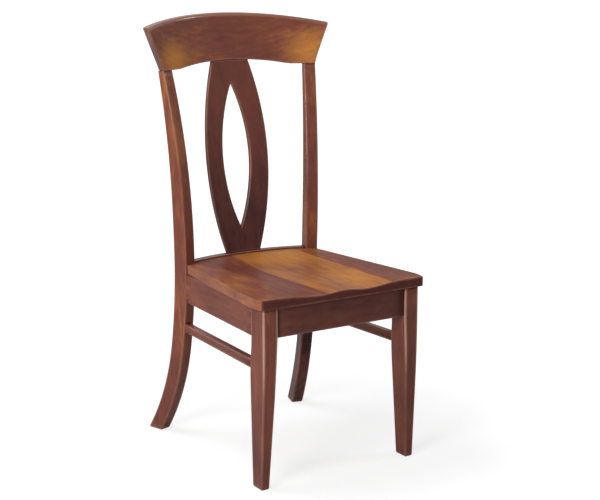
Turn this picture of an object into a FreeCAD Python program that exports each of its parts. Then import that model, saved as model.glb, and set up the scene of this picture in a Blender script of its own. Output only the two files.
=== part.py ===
import FreeCAD, Part
import math
import os

# Splat-back dining side chair in stained hardwood, in millimetres.
# X runs across the chair, Y from front to back, Z up from the floor.
# The chair is laid out from the seat's front edge (Y = 0) and centred at the end.

Vec = FreeCAD.Vector
ORIGIN = Vec(0, 0, 0)
UP = Vec(0, 0, 1)
ACROSS = Vec(1, 0, 0)
BACK = Vec(0, 1, 0)

# Overall sizes
seat_height = 457.0
crest_top_height = 1065.0
crest_width = 520.0

# Seat
seat_front_width = 448.0
seat_rear_width = 384.0
seat_side_length = 410.0
seat_thickness = 24.0
seat_corner_radius = 5.0
seat_side_swell = 7.5
seat_swell_setback = 50.0
seat_board_count = 5

# Scoop in the seat's top: a bowl, with a ridge between two thigh dips at the front
bowl_depth = 12.5
bowl_share_of_width = 0.80
bowl_fade_start = 300.0
bowl_fade_length = 125.0
bowl_rear_depth = 1.0
ridge_height = 10.0
ridge_half_width = 52.0
ridge_length = 300.0
scoop_grid_step = 17.0

# Front legs; the seat overhangs them at the side
seat_overhang = 8.0
leg_setback = 9.0
leg_top_width = 38.5
leg_top_depth = 56.0
leg_foot_width = 21.5
leg_foot_depth = 39.5
leg_foot_sweep = 15.5
leg_sweep_low_height = 200.0
leg_knee_hollow = 36.0
leg_knee_radius = 300.0
leg_knee_drop = 80.0
leg_edge_ease = 2.0

# Rear posts, turned to face the sitter and splayed outwards
post_inset = 13.5
post_gap = 10.0
post_width = 31.5
post_depth = 43.0
post_top_depth = 19.5
post_turn = 17.0
post_splay = 1.27
post_waist_rise = 43.0
post_back_straight = 60.0
post_upper_radius = 1740.0
post_lower_radius = 1520.0
post_sabre_height = 240.0
post_sabre_radius = 640.0
post_heel_radius = 622.0
post_edge_ease = 2.5

# Aprons; each step is how far an outer face lies inside the leg's or the post's outer edge
apron_height = 71.0
apron_thickness = 20.0
front_apron_step = 5.0
side_apron_leg_step = 0.5
side_apron_post_step = 0.5
apron_edge_round = 1.5

# Rear rail, bowed in plan, which carries the splat
rail_proud = 4.5
rail_bow_depth = 42.0
rail_radius = 450.0

# Side stretchers
stretcher_height = 22.0
stretcher_thickness = 18.0
stretcher_bottom_height = 282.0
stretcher_leg_step = 4.0
stretcher_post_step = 0.5
stretcher_edge_round = 2.0

# Crest rail, bowed in plan, leaning back, with flared ends
crest_height = 132.0
crest_radius = 450.0
crest_thickness = 25.5
crest_lean = 0.235
crest_behind_post = 4.0
crest_corner_drop = 27.5
crest_end_margin = 12.0
crest_flare_step = 5.0
crest_flare_start = 16.0
crest_arch_rise = 15.0
crest_arch_half_span = 160.0
crest_edge_bevel = 3.0

# Splat, bowed in plan, with a pointed oval cut-out
splat_set_back = 4.0
splat_thickness = 11.0
splat_head_width = 93.5
splat_belly_width = 178.0
splat_foot_width = 97.5
cutout_foot_margin = 62.5
cutout_head_margin = 57.0
cutout_width = 78.0

# Joints: tongues fit in mortises that are larger by these clearances
joint_clearance = 0.15
joint_end_clearance = 1.0
seat_fit = 0.3
tenon_thickness = 8.0
tenon_shoulder = 6.0
leg_tenon_length = 26.0
post_tenon_length = 18.0
splat_tenon_length = 18.0
crest_tenon_length = 20.0
crest_tenon_width = 18.0
side_tenon_share = 0.45

# Corner blocks, and the screws that go up through them into the seat
block_height = 38.0
block_reach = 92.0
screw_diameter = 4.2
screw_head_diameter = 8.4
screw_head_height = 2.6
screw_bite = 12.0

# Heights and places that follow from the sizes above
seat_underside = seat_height - seat_thickness
apron_bottom_height = seat_underside - apron_height
rail_top_height = seat_height + rail_proud
post_top_height = crest_top_height - crest_height
post_waist_height = seat_height + post_waist_rise
crest_arch_height = post_top_height + crest_arch_rise
leg_half_span = seat_front_width / 2 - seat_overhang
post_half_span = seat_rear_width / 2 - post_inset
post_setback = seat_side_length + post_gap
front_apron_setback = leg_setback + front_apron_step
rail_front = post_setback + rail_bow_depth

# Working sizes: how far blanks run past what they are cut to, and what counts as a long edge
spare = 30.0
far = 700.0
blank_half_sweep = math.radians(50.0)
long_edge = 100.0
upright_edge = 5.0
outline_tolerance = 1.0


def wedge_of(outline, direction):
    # Solid made by sweeping a closed outline of edges along a direction.
    return Part.Face(Part.Wire(Part.sortEdges(outline)[0])).extrude(direction)


def line(start, end):
    return Part.LineSegment(start, end).toShape()


def closed(corners):
    # Straight edges round a list of corners.
    return [line(a, b) for a, b in zip(corners, corners[1:] + corners[:1])]


def arc(start, middle, end):
    return Part.Arc(start, middle, end).toShape()


def mirrored(shape):
    return shape.mirror(ORIGIN, ACROSS)


def slab_between(low, high):
    # Everything of the chair that lies between two heights.
    return Part.makeBox(2 * far, 2 * far, high - low, Vec(-far, -far, low))


def largest(shape):
    return max(shape.Solids, key=lambda solid: solid.Volume)


def rounded(shape, radius, wanted):
    # Rounds every edge that the test picks.
    return shape.makeFillet(radius, [edge for edge in shape.Edges if wanted(edge)])


def eased(shape, width, wanted):
    # Bevels every edge that the test picks.
    return shape.makeChamfer(width, [edge for edge in shape.Edges if wanted(edge)])


def is_level(edge, height):
    box = edge.BoundBox
    return abs(box.ZMin - height) < 0.01 and abs(box.ZMax - height) < 0.01


def is_upright(edge):
    return edge.BoundBox.ZLength > upright_edge


def bend(start, angle, radius, rise):
    # Arc in the YZ plane from a start point where the line leans by an angle from upright.
    # A positive radius bends the line backwards as it climbs; a negative rise goes down.
    end_angle = math.asin(math.sin(angle) + rise / radius)

    def point(a):
        y = start.y + radius * (math.cos(angle) - math.cos(a))
        z = start.z + radius * (math.sin(a) - math.sin(angle))
        return Vec(0, y, z)

    end = point(end_angle)
    return arc(start, point((angle + end_angle) / 2), end), end, end_angle


def post_outline(grow):
    # Side view of a post: its front line is tangent to upright at the waist.
    rise = post_top_height - post_waist_height + spare
    drop = post_sabre_height - post_waist_height
    front = Vec(0, -grow, post_waist_height)
    back = Vec(0, post_depth + grow, post_waist_height)
    back_high = back + UP * post_back_straight
    upper_front, front_top, _ = bend(front, 0, post_upper_radius, rise)
    lower_front, front_knee, front_angle = bend(front, 0, post_lower_radius, drop)
    sabre_front, front_foot, _ = bend(front_knee, front_angle, post_sabre_radius, -post_sabre_height - spare)
    lower_back, back_knee, back_angle = bend(back, 0, post_lower_radius, drop)
    sabre_back, back_foot, _ = bend(back_knee, back_angle, post_heel_radius, -post_sabre_height - spare)
    upper_back, back_top, _ = bend(back_high, 0, post_back_radius(), rise - post_back_straight)
    edges = [upper_front, lower_front, sabre_front, line(front_foot, back_foot), sabre_back]
    edges += [lower_back, line(back, back_high), upper_back, line(back_top, front_top)]
    return edges


def post_back_radius():
    # Radius that brings the back line to the post's depth at its top.
    rise = post_top_height - post_waist_height
    front_shift = post_upper_radius - math.sqrt(post_upper_radius ** 2 - rise ** 2)
    shift = front_shift + post_top_depth - post_depth
    return ((rise - post_back_straight) ** 2 + shift ** 2) / (2 * shift)


def left_post_blank(grow=0.0):
    # Upright blank of the left post, with all its faces moved out by grow.
    blank = wedge_of(post_outline(grow), ACROSS * (post_width + 2 * grow))
    blank.translate(ACROSS * -(post_width / 2 + grow))
    return placed_as_left_post(blank)


def outside_left_post(depth=0.0):
    # Everything that lies deeper than this behind the left post's inner face.
    corner = Vec(post_width / 2 - depth - far, -far, -far)
    return placed_as_left_post(Part.makeBox(far, 2 * far, 2 * far, corner))


def placed_as_left_post(shape):
    # Splays and turns a shape, drawn about the post's front middle line, and moves it into place.
    shape.rotate(Vec(0, 0, seat_height), BACK, -post_splay)
    shape.rotate(ORIGIN, UP, post_turn)
    shape.translate(Vec(-post_half_span, post_setback, 0))
    return shape


def left_post():
    post = left_post_blank().common(slab_between(0, post_top_height))
    return eased(largest(post), post_edge_ease, lambda edge: is_upright(edge) or is_level(edge, 0))


def left_leg():
    # Side view: the front is swept back below the apron, the back swells at the knee.
    top = Vec(0, leg_setback, seat_underside)
    front = Vec(0, leg_setback, apron_bottom_height)
    back = front + BACK * leg_top_depth
    sweep_drop = apron_bottom_height - leg_sweep_low_height
    slope = leg_foot_sweep / (leg_sweep_low_height + sweep_drop / 2)
    sweep, sweep_end, sweep_angle = bend(front, 0, sweep_drop / slope, -sweep_drop)
    front_foot = down_to_floor(sweep_end, sweep_angle)
    hollow, hollow_end, hollow_angle = bend(back, 0, leg_knee_radius, -leg_knee_hollow)
    knee_low_height = hollow_end.z - leg_knee_drop
    overhang = hollow_end.y - leg_knee_drop * math.sin(hollow_angle) / 2 - front_foot.y - leg_foot_depth
    back_slope = overhang / (knee_low_height + leg_knee_drop / 2)
    knee_radius = leg_knee_drop / (math.sin(hollow_angle) - back_slope)
    knee, knee_end, knee_angle = bend(hollow_end, hollow_angle, knee_radius, -leg_knee_drop)
    back_foot = down_to_floor(knee_end, knee_angle)
    side = [line(top, front), sweep, line(sweep_end, front_foot), line(front_foot, back_foot)]
    side += [line(back_foot, knee_end), knee, hollow, line(back, top + BACK * leg_top_depth)]
    side += [line(top + BACK * leg_top_depth, top)]
    leg = wedge_of(side, ACROSS * -far)
    # Front view: upright outside, the inside tapers below the apron.
    outside = -leg_half_span
    inside = outside + leg_top_width
    corners = [Vec(outside, 0, 0), Vec(outside, 0, seat_underside), Vec(inside, 0, seat_underside),
               Vec(inside, 0, apron_bottom_height), Vec(outside + leg_foot_width, 0, 0)]
    leg = leg.common(wedge_of(closed(corners), BACK * far))
    return eased(largest(leg), leg_edge_ease, lambda edge: is_upright(edge) or is_level(edge, 0))


def down_to_floor(start, angle):
    # Where a line that leans by an angle from upright meets the floor.
    return Vec(0, start.y - math.tan(angle) * start.z, 0)


def bowed_board(front, radius, thickness, lean, low, high):
    # Board bowed in plan, hollow towards the sitter, that leans back as it climbs.
    # front is where its hollow face crosses X = 0 at the low height.
    def points(r):
        angles = -blank_half_sweep, 0, blank_half_sweep
        return [Vec(r * math.sin(a), front - radius + r * math.cos(a), low) for a in angles]

    inner, outer = points(radius), points(radius + thickness)
    edges = [arc(*inner), arc(*outer), line(inner[0], outer[0]), line(inner[2], outer[2])]
    return wedge_of(edges, Vec(0, lean * (high - low), high - low))


def crest_outline():
    # Front view of the crest rail, whose underside ends just outside the posts' tops.
    low = post_top_height
    end = crest_end_margin - left_post_top_middle().x
    right = [Vec(crest_arch_half_span, 0, low), Vec(end, 0, low),
             Vec(end + crest_flare_step, 0, low + crest_flare_start),
             Vec(crest_width / 2, 0, crest_top_height - crest_corner_drop)]
    left = [Vec(-p.x, 0, p.z) for p in right]
    edges = [arc(left[0], Vec(0, 0, crest_arch_height), right[0])]
    edges += [arc(left[3], Vec(0, 0, crest_top_height), right[3])]
    for side in (left, right):
        edges += [line(side[0], side[1]), flare_curve(side[1], side[2], side[3])]
    return edges


def flare_curve(start, middle, end):
    # End of the crest: nearly upright over the post, then flaring out.
    curve = Part.BSplineCurve()
    curve.interpolate([start, middle, (middle + end) / 2, end])
    return curve.toShape()


def crest_front():
    # The bow's middle line passes just behind the middles of the posts' tops.
    post_top = left_post_top_middle()
    middle_radius = crest_radius + crest_thickness / 2
    bow_centre = post_top.y + crest_behind_post - math.sqrt(middle_radius ** 2 - post_top.x ** 2)
    return bow_centre + crest_radius


def crest_blank():
    board = bowed_board(crest_front(), crest_radius, crest_thickness, crest_lean,
                        post_top_height, crest_top_height + spare)
    crest = largest(board.common(wedge_of(crest_outline(), BACK * far)))
    return eased(crest, crest_edge_bevel, is_crest_top)


def is_crest_top(edge):
    # The two long edges of the crest's top arch.
    box = edge.BoundBox
    return box.ZMin > post_top_height + crest_height / 2 and box.XLength > crest_width / 2


def rear_rail():
    # Bowed board between the inner faces of the two posts.
    rail = bowed_board(rail_front, rail_radius, apron_thickness, 0, apron_bottom_height, rail_top_height)
    for side in (outside_left_post(), mirrored(outside_left_post())):
        rail = rail.cut(side)
    return largest(rail)


def splat_lean():
    # The splat stands the same distance behind the rail's face and the crest's face.
    crest_face = crest_front() + crest_lean * crest_arch_rise
    return (crest_face - rail_front) / (crest_arch_height - rail_top_height)


def splat_layer(inset, low, high, half_width):
    # Part of the splat's bowed board between two heights, inset from both faces.
    front = rail_front + splat_set_back + splat_lean() * (low - rail_top_height)
    board = bowed_board(front + inset, rail_radius + splat_set_back + inset,
                        splat_thickness - 2 * inset, splat_lean(), low, high)
    return board.common(Part.makeBox(2 * half_width, far, far + far, Vec(-half_width, 0, 0)))


def pointed_oval(low, high, width):
    middle = (low + high) / 2
    tips = Vec(0, 0, low), Vec(0, 0, high)
    edges = [arc(tips[0], Vec(side * width / 2, 0, middle), tips[1]) for side in (-1, 1)]
    return wedge_of(edges, BACK * far)


def splat_tenons(grow=0.0, longer=0.0):
    # Tongue inside the splat's thickness that runs on into the rail and the crest.
    inset = (splat_thickness - tenon_thickness) / 2 - grow
    reach = splat_tenon_length + longer
    shoulder = tenon_shoulder - grow
    foot = splat_layer(inset, rail_top_height - reach, rail_top_height + spare / 2,
                       splat_foot_width / 2 - shoulder)
    head_low = post_top_height - spare / 2
    head = splat_layer(inset, head_low, crest_arch_height + reach,
                       splat_head_width / 2 - shoulder)
    return foot, head


def back_splat(crest):
    # The blank runs on past the crest's underside and is cut back to it.
    low, high = rail_top_height, crest_arch_height + spare / 2
    middle = (rail_top_height + crest_arch_height) / 2
    left, right = [[Vec(side * splat_foot_width / 2, 0, low), Vec(side * splat_belly_width / 2, 0, middle),
                    Vec(side * splat_head_width / 2, 0, high)] for side in (-1, 1)]
    outline = [arc(*left), arc(*right), line(left[0], right[0]), line(left[2], right[2])]
    splat = splat_layer(0, low, high, splat_belly_width).common(wedge_of(outline, BACK * far))
    splat = splat.cut(pointed_oval(rail_top_height + cutout_foot_margin,
                                   crest_arch_height - cutout_head_margin, cutout_width))
    splat = largest(splat.cut(crest))
    for tenon in splat_tenons():
        splat = splat.fuse(tenon)
    return splat.removeSplitter()


def seat_half_width(y):
    return (seat_front_width - (seat_front_width - seat_rear_width) * y / seat_side_length) / 2


def scoop_depth(x, y):
    # Depth of the seat's scoop below the height of its corners.
    share = min(abs(x) / (seat_half_width(y) * bowl_share_of_width), 1.0)
    bowl = math.cos(share * math.pi / 2) ** 2
    fade = smooth_step((y - bowl_fade_start) / bowl_fade_length)
    depth = bowl_depth * (1 - fade) + bowl_rear_depth * fade
    ridge = ridge_height * (1 - smooth_step(y / ridge_length)) * math.exp(-(x / ridge_half_width) ** 2)
    return depth * bowl - ridge * bowl


def smooth_step(t):
    t = min(max(t, 0.0), 1.0)
    return t * t * (3 - 2 * t)


def seat_top_tool():
    # Everything above the seat's scooped top, under one smooth surface.
    x_count = int(2 * (seat_front_width / 2 + spare) / scoop_grid_step) + 1
    x_start = -seat_front_width / 2 - spare
    x_step = (seat_front_width + 2 * spare) / (x_count - 1)
    y_count = int((rail_front + 2 * spare) / scoop_grid_step) + 1
    y_step = (rail_front + 2 * spare) / (y_count - 1)
    poles = []
    for i in range(x_count):
        x = x_start + i * x_step
        ys = [j * y_step - spare for j in range(y_count)]
        poles.append([Vec(x, y, seat_height - scoop_depth(x, max(y, 0))) for y in ys])

    def knots(count):
        return list(range(count - 2)), [4] + [1] * (count - 4) + [4]

    x_knots, x_mults = knots(x_count)
    y_knots, y_mults = knots(y_count)
    surface = Part.BSplineSurface()
    surface.buildFromPolesMultsKnots(poles, x_mults, y_mults, x_knots, y_knots, False, False, 3, 3)
    return surface.toShape().extrude(UP * 2 * spare)


def seat_side_points(length):
    # The left side in plan, from its front corner: it swells out in an arc, then runs straight back.
    # The arc is tangent to the straight, and its middle point lies on it.
    swollen = Vec(-seat_front_width / 2 - seat_side_swell, seat_swell_setback, seat_underside)
    slope = (-swollen.x - seat_rear_width / 2) / (seat_side_length - seat_swell_setback)
    turn = math.atan(slope)
    corner = Vec(-seat_front_width / 2, 0, seat_underside)
    along = Vec(-math.sin(turn), -math.cos(turn), 0)
    inward = Vec(math.cos(turn), -math.sin(turn), 0)
    run = corner - swollen
    radius = run.dot(run) / (2 * run.dot(inward))
    sweep = math.asin(run.dot(along) / radius) / 2
    middle = swollen + along * (radius * math.sin(sweep)) + inward * (radius * (1 - math.cos(sweep)))
    rear = Vec(-seat_rear_width / 2 + slope * (length - seat_side_length), length, seat_underside)
    return corner, middle, swollen, rear


def whole_seat():
    # Tapering seat, bowed to the rear rail and notched round the posts.
    length = rail_front + spare
    left = seat_side_points(length)
    right = [Vec(-p.x, p.y, p.z) for p in left]
    outline = [line(left[0], right[0]), line(left[3], right[3])]
    for side in (left, right):
        outline += [arc(*side[:3]), line(side[2], side[3])]
    seat = wedge_of(outline, UP * (seat_thickness + spare))
    seat = rounded(seat, seat_corner_radius,
                   lambda edge: is_upright(edge) and edge.BoundBox.YMax < spare)
    bow = Part.makeCylinder(rail_radius - seat_fit, far, Vec(0, rail_front - rail_radius, 0), UP)
    seat = seat.common(bow)
    seat = seat.cut(seat_top_tool())
    for post in (left_post_blank(seat_fit), mirrored(left_post_blank(seat_fit))):
        seat = seat.cut(post)
    return largest(seat)


def seat_boards(seat):
    # The seat is glued up from boards that run from front to back.
    width = seat_front_width / seat_board_count
    sides = [-far] + [(i - seat_board_count / 2) * width for i in range(1, seat_board_count)] + [far]
    boards = []
    for left, right in zip(sides, sides[1:]):
        boards.append(largest(seat.common(Part.makeBox(right - left, far, far, Vec(left, -spare, 0)))))
    return boards


def bar(start, end, thickness, low, high):
    # Level bar of rectangular section between two points in plan.
    run = Vec(end.x - start.x, end.y - start.y, 0)
    box = Part.makeBox(run.Length, thickness, high - low, Vec(0, -thickness / 2, low))
    box.rotate(ORIGIN, UP, math.degrees(math.atan2(run.y, run.x)))
    box.translate(Vec(start.x, start.y, 0))
    return box


def front_apron():
    inside = leg_half_span - leg_top_width
    apron = Part.makeBox(2 * inside, apron_thickness, seat_underside - apron_bottom_height,
                         Vec(-inside, front_apron_setback, apron_bottom_height))
    return rounded(apron, apron_edge_round,
                   lambda edge: is_level(edge, apron_bottom_height) and edge.BoundBox.XLength > 1)


def front_apron_tenons(grow=0.0, longer=0.0):
    reach = leg_half_span - leg_top_width + leg_tenon_length + longer
    middle = front_apron_setback + apron_thickness / 2
    return tongue(Vec(-reach, middle, 0), Vec(reach, middle, 0), apron_bottom_height, seat_underside, grow)


def tongue(start, end, low, high, grow):
    # Tenon along the middle of a piece that lies between two heights.
    shoulder = tenon_shoulder - grow
    return bar(start, end, tenon_thickness + 2 * grow, low + shoulder, high - shoulder)


def left_side_line(leg_step, post_step, thickness):
    # Middle line, in plan, of a left side piece that runs from leg to post, and its direction.
    front_span = leg_half_span - leg_step - thickness / 2
    rear_span = post_half_span + post_width / 2 - post_step - thickness / 2
    start = Vec(-front_span, leg_setback + leg_top_depth, 0)
    end = Vec(-rear_span, post_setback, 0)
    return start, end, (end - start).normalize()


def left_apron_line():
    return left_side_line(side_apron_leg_step, side_apron_post_step, apron_thickness)


def left_stretcher_line():
    return left_side_line(stretcher_leg_step, stretcher_post_step, stretcher_thickness)


def left_side_apron(leg, post):
    start, end, way = left_apron_line()
    apron = bar(start - way * spare, end + way * spare, apron_thickness,
                apron_bottom_height, seat_underside)
    apron = rounded(apron, apron_edge_round,
                    lambda edge: is_level(edge, apron_bottom_height) and edge.Length > long_edge)
    return largest(apron.cut(leg).cut(post))


def side_tenon_height():
    # The side apron's tenon in the post lies below this height, and the rear rail's above it.
    return apron_bottom_height + side_tenon_share * (rail_top_height - apron_bottom_height)


def left_side_apron_tenons(grow=0.0, longer=0.0):
    start, end, way = left_apron_line()
    middle = (start + end) / 2
    first = start - way * (leg_tenon_length + longer)
    last = end + way * (post_tenon_length + longer)
    front = tongue(first, middle, apron_bottom_height, seat_underside, grow)
    rear = tongue(middle, last, apron_bottom_height, side_tenon_height(), grow)
    return front.fuse(rear)


def rear_rail_tenons(grow=0.0, longer=0.0):
    inset = (apron_thickness - tenon_thickness) / 2 - grow
    shoulder = tenon_shoulder - grow
    board = bowed_board(rail_front + inset, rail_radius + inset, apron_thickness - 2 * inset, 0,
                        side_tenon_height() + shoulder, rail_top_height - shoulder)
    beyond = outside_left_post(post_tenon_length + longer)
    return largest(board.cut(beyond).cut(mirrored(beyond)))


def left_stretcher(leg, post):
    start, end, way = left_stretcher_line()
    body = bar(start - way * spare, end + way * 2 * spare, stretcher_thickness,
               stretcher_bottom_height, stretcher_bottom_height + stretcher_height)
    body = rounded(body, stretcher_edge_round, lambda edge: edge.Length > long_edge)
    return largest(body.cut(leg).cut(post))


def left_stretcher_tenons(stretcher, grow=0.0, longer=0.0):
    # The leg is swept and the post curved, so the stretcher's own ends place its tenons.
    start, _, way = left_stretcher_line()
    box = stretcher.BoundBox
    first = start + way * ((box.YMin - start.y) / way.y - post_tenon_length - longer)
    last = start + way * ((box.YMax - start.y) / way.y + post_tenon_length + longer)
    return tongue(first, last, stretcher_bottom_height, stretcher_bottom_height + stretcher_height, grow)


def left_post_tenon(grow=0.0, longer=0.0):
    # Tongue on the post's top that runs up inside the crest rail.
    middle = left_post_top_middle()
    half_width = crest_tenon_width / 2 + grow
    half_thickness = tenon_thickness / 2 + grow
    ends = [(-half_width, -half_thickness), (half_width, -half_thickness),
            (half_width, half_thickness), (-half_width, half_thickness)]
    height = crest_tenon_length + longer
    way = Vec(0, crest_lean, 1)
    foot = [middle - way * tenon_shoulder + Vec(x, y, 0) for x, y in ends]
    edges = [edge.rotate(middle, UP, post_turn) for edge in closed(foot)]
    return wedge_of(edges, way * (height + tenon_shoulder))


def left_post_top_middle():
    rise = post_top_height - post_waist_height
    curve_back = post_upper_radius - math.sqrt(post_upper_radius ** 2 - rise ** 2)
    splay_out = math.tan(math.radians(post_splay)) * (post_top_height - seat_height)
    turn = math.radians(post_turn)
    across = Vec(math.cos(turn), math.sin(turn), 0)
    back = Vec(-math.sin(turn), math.cos(turn), 0)
    return (Vec(-post_half_span, post_setback, post_top_height) - across * splay_out
            + back * (curve_back + post_top_depth / 2))


def left_frame_corners():
    # Inside corners of the seat frame, in plan, at the left leg and the left post.
    start, _, way = left_apron_line()

    def corner(y):
        x = start.x + (y - start.y) * way.x / way.y + apron_thickness / 2
        return Vec(x, y, seat_underside - block_height)

    return corner(front_apron_setback + apron_thickness), corner(post_setback)


def corner_block(corner, inward, neighbours):
    # Three-cornered block fitted to the pieces round it; inward is +1 at the front, -1 at the rear.
    reach = block_reach + spare
    steps = [(-spare, -spare), (reach, -spare), (-spare, reach)]
    corners = [corner + Vec(x, y * inward, 0) for x, y in steps]
    block = wedge_of(closed(corners), UP * block_height)
    for piece in neighbours:
        block = block.cut(piece)
    return largest(block)


def seat_screw(block, grow=0.0):
    # Wood screw up through the middle of a block into the seat, or its bore when grown.
    length = block_height + screw_bite + grow
    foot = Vec(block.CenterOfMass.x, block.CenterOfMass.y, seat_underside - block_height)
    shank = Part.makeCylinder(screw_diameter / 2 + grow, length, foot, UP)
    if grow:
        return shank
    head = Part.makeCylinder(screw_head_diameter / 2, screw_head_height, foot - UP * screw_head_height, UP)
    return shank.fuse(head).removeSplitter()


def fitted(shape, tools):
    # Cuts the joints' bores and mortises and keeps the piece itself.
    for tool in tools:
        shape = shape.cut(tool)
    return largest(shape)


def both_sides(shapes):
    return shapes + [mirrored(shape) for shape in shapes]


def jointed(shape, tenon):
    return largest(shape.fuse(tenon).removeSplitter())


def build():
    post_blank = left_post_blank()
    leg, post = left_leg(), left_post()
    crest, rail, front = crest_blank(), rear_rail(), front_apron()
    side = left_side_apron(leg, post_blank)
    stretcher = left_stretcher(leg, post_blank)
    front_corner, rear_corner = left_frame_corners()
    front_block = corner_block(front_corner, 1, [front, side, leg])
    rear_block = corner_block(rear_corner, -1, [rail, side, post_blank])

    gaps = joint_clearance, joint_end_clearance
    side_mortises = left_side_apron_tenons(*gaps)
    stretcher_mortises = left_stretcher_tenons(stretcher, *gaps)
    crest_mortise = left_post_tenon(*gaps)
    splat_foot_mortise, splat_head_mortise = splat_tenons(*gaps)
    seat_bores = [seat_screw(block, joint_clearance) for block in (front_block, rear_block)]

    left = {
        "front_leg": fitted(leg, [front_apron_tenons(*gaps), side_mortises, stretcher_mortises]),
        "rear_post": jointed(fitted(post, [rear_rail_tenons(*gaps), side_mortises, stretcher_mortises]),
                             left_post_tenon()),
        "side_apron": jointed(side, left_side_apron_tenons()),
        "side_stretcher": jointed(stretcher, left_stretcher_tenons(stretcher)),
        "front_corner_block": fitted(front_block, seat_bores[:1]),
        "rear_corner_block": fitted(rear_block, seat_bores[1:]),
    }
    parts = {
        "crest_rail": fitted(crest, both_sides([crest_mortise]) + [splat_head_mortise]),
        "back_splat": back_splat(crest),
        "rear_rail": fitted(jointed(rail, rear_rail_tenons()), [splat_foot_mortise]),
        "front_apron": jointed(front, front_apron_tenons()),
        "seat_screws": Part.makeCompound(both_sides([seat_screw(front_block), seat_screw(rear_block)])),
    }
    for name, shape in left.items():
        parts[name + "_left"] = shape
        parts[name + "_right"] = mirrored(shape)
    for i, board in enumerate(seat_boards(whole_seat())):
        parts["seat_board_%d" % (i + 1)] = fitted(board, both_sides(seat_bores))
    return parts


def centred(parts):
    # The origin is on the floor under the middle of the chair.
    box = FreeCAD.BoundBox()
    for shape in parts.values():
        for point in shape.tessellate(outline_tolerance)[0]:
            box.add(point)
    shift = Vec(-box.Center.x, -box.Center.y, -box.ZMin)
    for name, shape in parts.items():
        parts[name] = shape.translated(shift)
    print("outline %.1f x %.1f x %.1f" % (box.XLength, box.YLength, box.ZLength))
    return parts


os.makedirs("parts", exist_ok=True)
for name, shape in centred(build()).items():
    shape.exportStep("parts/" + name + ".step")
    print(name, len(shape.Solids), round(shape.Volume / 1000.0, 1), "cm3")
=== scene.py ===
import math

import bmesh
import bpy
from mathutils import Matrix, Vector


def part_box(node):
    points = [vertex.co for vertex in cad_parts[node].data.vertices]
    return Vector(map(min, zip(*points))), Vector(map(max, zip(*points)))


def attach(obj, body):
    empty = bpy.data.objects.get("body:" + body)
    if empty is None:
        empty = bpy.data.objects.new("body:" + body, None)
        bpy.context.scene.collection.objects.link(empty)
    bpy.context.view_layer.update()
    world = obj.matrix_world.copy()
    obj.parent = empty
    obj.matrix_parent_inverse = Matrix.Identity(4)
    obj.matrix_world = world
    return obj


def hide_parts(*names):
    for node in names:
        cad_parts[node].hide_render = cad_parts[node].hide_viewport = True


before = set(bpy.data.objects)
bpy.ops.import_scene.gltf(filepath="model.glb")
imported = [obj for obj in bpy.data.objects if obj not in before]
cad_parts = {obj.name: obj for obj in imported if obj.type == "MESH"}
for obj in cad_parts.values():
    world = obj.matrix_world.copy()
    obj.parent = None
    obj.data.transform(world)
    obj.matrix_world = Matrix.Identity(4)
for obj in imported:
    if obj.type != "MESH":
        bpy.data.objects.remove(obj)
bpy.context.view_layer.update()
mm = 0.001
scene = bpy.context.scene
print("frame loaded:", len(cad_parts), "nodes")

xAxis, yAxis, zAxis = Vector((1, 0, 0)), Vector((0, 1, 0)), Vector((0, 0, 1))


def boxOf(node):
    low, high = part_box(node)
    return low / mm, high / mm


def newTree(name, **values):
    # a geometry tree with one named input for each value
    tree = bpy.data.node_groups.new(name, "GeometryNodeTree")
    tree.interface.new_socket("Geometry", in_out="INPUT", socket_type="NodeSocketGeometry")
    for key, value in values.items():
        kind = "NodeSocketMaterial" if isinstance(value, bpy.types.Material) else "NodeSocketFloat"
        tree.interface.new_socket(key, in_out="INPUT", socket_type=kind)
    tree.interface.new_socket("Geometry", in_out="OUTPUT", socket_type="NodeSocketGeometry")
    start = tree.nodes.new("NodeGroupInput")
    return tree, {socket.name: Wire(tree, socket) for socket in start.outputs if socket.name}


def endTree(tree, geometry, material):
    geometry = addNode(tree, "GeometryNodeRealizeInstances", [("Geometry", geometry)])
    geometry = addNode(tree, "GeometryNodeSetMaterial", [("Geometry", geometry), ("Material", material)])
    tree.links.new(geometry.socket, tree.nodes.new("NodeGroupOutput").inputs[0])


def applyTree(obj, tree, **values):
    # the tree's inputs are set, then its result becomes the object's own plain mesh
    modifier = obj.modifiers.new("shape", "NODES")
    modifier.node_group = tree
    for item in tree.interface.items_tree:
        if item.in_out == "INPUT" and item.name in values:
            modifier[item.identifier] = values[item.name]
    graph = bpy.context.evaluated_depsgraph_get()
    result = bpy.data.meshes.new_from_object(obj.evaluated_get(graph), preserve_all_data_layers=True,
                                             depsgraph=graph)
    obj.modifiers.remove(modifier)
    obj.data = result


# camera, at the photograph's viewing angle
cameraView = {
    "place": (-1757.5, -2573.6, 1208.5),      # mm, from the middle of the seat's front edge
    "azimuth": -32.4,                         # degrees, 0 looks along +Y
    "elevation": 11.98,
    "roll": -0.21,
    "lens": 83.61,                            # mm on a 36 mm sensor
}


def makeCamera(view):
    a, e, r = (math.radians(view[k]) for k in ("azimuth", "elevation", "roll"))
    back = Vector((math.sin(a) * math.cos(e), -math.cos(a) * math.cos(e), math.sin(e)))
    level = Vector((math.cos(a), math.sin(a), 0))
    rise = back.cross(level)
    right = level * math.cos(r) + rise * math.sin(r)
    up = rise * math.cos(r) - level * math.sin(r)
    camera = bpy.data.objects.new("camera", bpy.data.cameras.new("camera"))
    scene.collection.objects.link(camera)
    place = Vector(view["place"]) + Vector((0, boxOf("seat_board_3")[0].y, 0))
    turn = Matrix((right, up, back)).transposed().to_4x4()
    camera.matrix_world = Matrix.Translation(place * mm) @ turn
    camera.data.lens = view["lens"]
    camera.data.sensor_width = 36
    camera.data.clip_end = 50
    scene.camera = camera


makeCamera(cameraView)


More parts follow.
